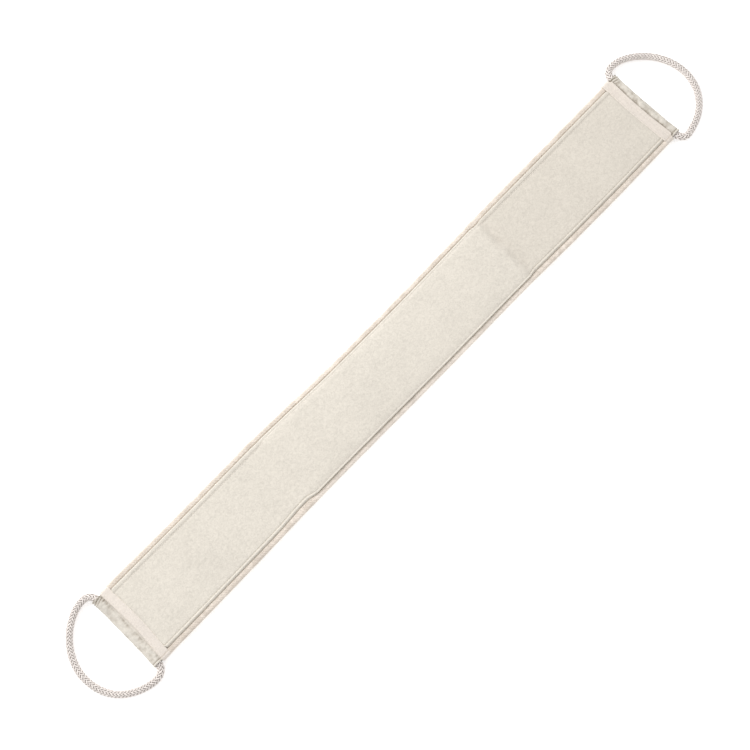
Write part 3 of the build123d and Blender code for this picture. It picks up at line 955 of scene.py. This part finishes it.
def make_hem_stitches(end):
    """Two rows of stitches across the end band."""
    hem_side, _, panel_x, _ = hems[end]
    y = stations(-38.0 * mm, 39.5 * mm, 1.0 * mm)
    rows = []
    for place in (0.8 * mm, band_width[end] - 1.4 * mm):
        x = panel_x + hem_side * (place - band_overlap + hem_skew(end, y))
        rows.append(stitches(np.stack([x, y, np.full_like(y, 7.18 * mm)], -1), 0.12 * mm))
    piece = mesh_piece(f"hem_stitch_rows_{end}", *joined(rows), materials["thread"])
    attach(piece, f"{end}_section")
    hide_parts(f"hem_stitches_{end}")


# Rope loops


strands_each_way = 8
braid_pitch = 25 * mm
strand_ring_radius = 2.65 * mm
strand_weave = 0.45 * mm
strand_half_width = 0.74 * mm
strand_half_height = 0.58 * mm
strand_sides = 8
core_radius = 2.1 * mm


def route_points(end):
    """The rope's route: its plane leans down from the tunnel's axis until the rope rests on the floor."""
    hem_side, axis, _, route = hems[end]
    reach = max(out for out, _ in route)
    drop = math.asin((axis.z - rope_radius) / reach)
    return [
        Vector((axis.x + hem_side * out * math.cos(drop), y, axis.z - out * math.sin(drop)))
        for out, y in route
    ]


def smooth_line(name, points):
    """Points along the NURBS curve of a route."""
    data = bpy.data.curves.new(name, "CURVE")
    data.dimensions = "3D"
    data.resolution_u = 24
    spline = data.splines.new("NURBS")
    spline.points.add(len(points) - 1)
    for point, place in zip(spline.points, points):
        point.co = (*place, 1)
    spline.order_u = 3
    spline.use_endpoint_u = True
    curve = bpy.data.objects.new(name, data)
    bpy.context.scene.collection.objects.link(curve)
    mesh = bpy.data.meshes.new_from_object(curve.evaluated_get(bpy.context.evaluated_depsgraph_get()))
    line = np.array([vertex.co for vertex in mesh.vertices])
    bpy.data.objects.remove(curve)
    return line


def evenly(line, step):
    """A line's points, one step apart."""
    runs = np.linalg.norm(np.diff(line, axis=0), axis=1)
    travelled = np.concatenate([[0], np.cumsum(runs)])
    places = np.linspace(0, travelled[-1], round(travelled[-1] / step) + 1)
    return np.stack([np.interp(places, travelled, line[:, axis]) for axis in range(3)], -1), places


def plane_frames(line):
    """Two unit directions across a line that lies in a plane: in the plane, and out of it."""
    tangents = np.gradient(line, axis=0)
    tangents /= np.linalg.norm(tangents, axis=1, keepdims=True)
    normal = np.cross(line[len(line) // 4] - line[0], line[len(line) // 2] - line[0])
    normal = normal / np.linalg.norm(normal)
    normal *= 1 if normal[2] > 0 else -1
    out_of_plane = np.broadcast_to(normal, line.shape)
    in_plane = np.cross(out_of_plane, tangents)
    return in_plane, out_of_plane


def braid(line, places):
    """Strand centrelines and outward directions of a round two-over-two braid, (strands, points, 3)."""
    in_plane, out_of_plane = plane_frames(line)
    lines, outward = [], []
    for way in (1, -1):
        for strand in range(strands_each_way):
            angle = way * 2 * math.pi * places / braid_pitch + 2 * math.pi * strand / strands_each_way
            weave = way * np.cos(strands_each_way / 2 * angle - math.pi / 4)
            radius = strand_ring_radius + strand_weave * weave
            direction = np.cos(angle)[:, None] * in_plane + np.sin(angle)[:, None] * out_of_plane
            lines.append(line + radius[:, None] * direction)
            outward.append(direction)
    return np.array(lines), np.array(outward)


def make_rope_handle(end):
    """Braided rope loop through the hem's tunnel, with a core inside the strands. The core is painted dark
    all over and the strands darker towards it, as painted shade inside the braid.
    """
    line, places = evenly(smooth_line(f"rope_route_{end}", route_points(end)), 0.8 * mm)
    lines, outward = braid(line, places)
    everywhere = np.ones(len(line))
    half_width, half_height = strand_half_width * everywhere, strand_half_height * everywhere
    points, faces = tubes(lines, outward, half_width, half_height, strand_sides)
    from_centre = np.linalg.norm(points.reshape(*lines.shape[:2], -1, 3) - line[:, None], axis=-1)
    # painted shade: each strand darker where it dips in towards the core
    between_strands = smooth((3.35 * mm - from_centre) / (0.75 * mm))
    alternate = np.arange(2 * strands_each_way)[:, None, None] % 2
    strand_darkness = np.clip(between_strands + 0.12 * alternate, 0, 1)
    half_core = core_radius * everywhere
    core = tubes(line[None], plane_frames(line)[1][None], half_core, half_core, 12)
    all_points, all_faces = joined([(points, faces), core])
    # the core is painted fully dark, as shade inside the braid
    darkness = np.concatenate([strand_darkness.ravel(), np.ones(len(core[0]))])
    name = f"rope_handle_braid_{end}"
    piece = mesh_piece(name, all_points, all_faces, materials["cotton_rope"], darkness)
    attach(piece, f"{end}_handle")
    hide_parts(f"rope_handle_{end}")


def dress_splice_sleeves():
    """The whipping sleeves keep their CAD shape."""
    for end in hems:
        sleeve = frame["nodes"][f"splice_sleeve_{end}"]
        sleeve.data.materials.clear()
        sleeve.data.materials.append(materials["whipping"])


# Surroundings


def floor_material():
    """White light table, very slightly uneven."""
    material = bpy.data.materials.new("floor")
    material.use_nodes = True
    nodes, links = material.node_tree.nodes, material.node_tree.links
    shader = nodes["Principled BSDF"]
    tone = noise_value(nodes, links, coordinates(nodes, links), 0.5, 2.0)
    white = mixed(nodes, links, tone, (0.93, 0.93, 0.93), (0.95, 0.95, 0.95))
    links.new(white, shader.inputs["Base Color"])
    shader.inputs["Roughness"].default_value = 0.9
    shader.inputs["Specular IOR Level"].default_value = 0.1
    shader.inputs["Emission Color"].default_value = (1, 1, 1, 1)
    shader.inputs["Emission Strength"].default_value = 0.35
    return material


def make_floor():
    """Plain pale floor."""
    half = 6.0
    corners = [(-half, -half, 0), (half, -half, 0), (half, half, 0), (-half, half, 0)]
    floor = mesh_piece("floor", corners, [(0, 1, 2, 3)], floor_material())


def make_light():
    """Even white surroundings and one large soft lamp from the left edge's side."""
    world = bpy.data.worlds.new("studio")
    world.use_nodes = True
    background = world.node_tree.nodes["Background"]
    background.inputs["Color"].default_value = (1, 1, 1, 1)
    background.inputs["Strength"].default_value = 0.80
    bpy.context.scene.world = world
    lamp = bpy.data.lights.new("key", "AREA")
    lamp.shape = "DISK"
    lamp.size = 0.9
    lamp.energy = 20
    key = bpy.data.objects.new("key", lamp)
    key.location = (-0.15, 1.25, 1.15)
    key.rotation_mode = "QUATERNION"
    key.rotation_quaternion = (-key.location).to_track_quat("-Z", "Y")
    bpy.context.scene.collection.objects.link(key)
    bpy.context.scene.view_settings.view_transform = "Standard"


def make_camera():
    """Looks steeply down from beyond the right edge, turned so that the strap runs up to the right."""
    target = Vector((-19.0, 3.8, 0)) * mm
    distance = 1.302
    elevation = math.radians(77.83)
    azimuth = math.radians(32.0)  # of the view direction, clockwise from +Y
    roll = math.radians(44.25)  # horizontal direction square to the picture's rightward one, from +X
    flat = math.cos(elevation)
    forward = Vector((math.sin(azimuth) * flat, math.cos(azimuth) * flat, -math.sin(elevation)))
    right = forward.cross(Vector((math.cos(roll), math.sin(roll), 0))).normalized()
    up = right.cross(forward)
    camera = bpy.data.cameras.new("camera")
    camera.lens = 67.6
    camera.sensor_width = 36
    eye = bpy.data.objects.new("camera", camera)
    turned = Matrix((right, up, -forward)).transposed().to_4x4()
    eye.matrix_world = Matrix.Translation(target - forward * distance) @ turned
    bpy.context.scene.collection.objects.link(eye)
    bpy.context.scene.camera = eye


make_camera()
make_light()
make_floor()
for end in hems:
    make_rope_handle(end)
    make_rope_tunnel(end)
    make_end_band(end)
    make_hem_stitches(end)
for half in halves:
    make_face_cloth(half)
    make_wadding(half)
    make_lining(half)
    make_binding(half, "binding_left", 1)
    make_binding(half, "binding_right", -1)
    make_panel_stitches(half)
    make_binding_stitches(half)
make_loofah_sheets()
dress_splice_sleeves()
